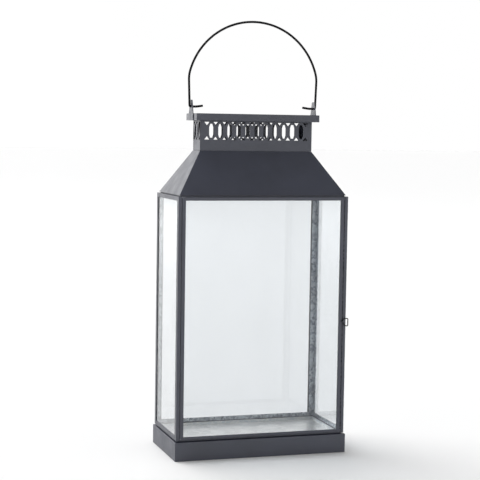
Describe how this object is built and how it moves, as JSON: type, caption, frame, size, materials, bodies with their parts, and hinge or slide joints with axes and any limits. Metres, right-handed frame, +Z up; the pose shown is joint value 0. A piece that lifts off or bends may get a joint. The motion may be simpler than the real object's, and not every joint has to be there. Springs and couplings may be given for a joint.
{
  "type": "glazed metal lantern",
  "caption": "Tall rectangular glazed sheet-metal lantern with a hinged glass door, hipped roof, pierced chimney, flat cap and swinging wire bail.",
  "frame": {"origin": "middle of the plinth's underside, on the surface that the lantern stands on", "axes": "+Z up; the glazed door faces -Y and its hinges are at -X; +X runs along the front to the latch"},
  "size_m": [0.2719, 0.136, 0.6567],
  "materials": {
    "painted": "satin blue-black powder paint over galvanised sheet",
    "zinc": "bare spangled galvanised sheet",
    "glass": "clear 2 mm window glass",
    "steel_pin": "drawn steel wire",
    "wire": "black painted round steel wire"
  },
  "bodies": {
    "lantern": {"plinth": "painted", "post_front_left": "painted", "post_front_right": "painted", "post_back_left": "painted", "post_back_right": "painted", "rail_bottom_left": "painted", "rail_bottom_right": "painted", "rail_bottom_back": "painted", "rail_top_left": "painted", "rail_top_right": "painted", "rail_top_back": "painted", "door_sill": "painted", "door_header": "painted", "roof_seat": "painted", "roof_front": "painted", "roof_back": "painted", "roof_left": "painted", "roof_right": "painted", "chimney_front": "painted", "chimney_back": "painted", "chimney_left": "painted", "chimney_right": "painted", "cap": "painted", "lug_left": "painted", "lug_right": "painted", "floor_sheet": "zinc", "floor_frame": "zinc", "bead_front_left": "zinc", "bead_front_right": "zinc", "bead_back_left": "zinc", "bead_back_right": "zinc", "bead_bottom_left": "zinc", "bead_bottom_right": "zinc", "bead_bottom_back": "zinc", "bead_top_left": "zinc", "bead_top_right": "zinc", "bead_top_back": "zinc", "glass_left": "glass", "glass_right": "glass", "glass_back": "glass"},
    "door": {"door_stile_hinge": "painted", "door_stile_latch": "painted", "door_rail_bottom": "painted", "door_rail_top": "painted", "door_glass": "glass", "door_hinge_pins": "steel_pin"},
    "latch": {"latch_loop": "wire"},
    "bail": {"bail": "wire"}
  },
  "joints": [
    {"name": "door_hinge", "type": "hinge", "parent": "lantern", "child": "door", "pos_m": [-0.1252, -0.0632, 0.2], "axis": [0, 0, -1], "range_deg": [0, 105]},
    {"name": "latch_turn", "type": "hinge", "parent": "door", "child": "latch", "pos_m": [0.1255, -0.0632, 0.2025], "axis": [0, 1, 0], "range_deg": [0, 90]},
    {"name": "bail_swing", "type": "hinge", "parent": "lantern", "child": "bail", "pos_m": [0, 0, 0.5255], "axis": [1, 0, 0], "range_deg": [-152, 152]}
  ]
}
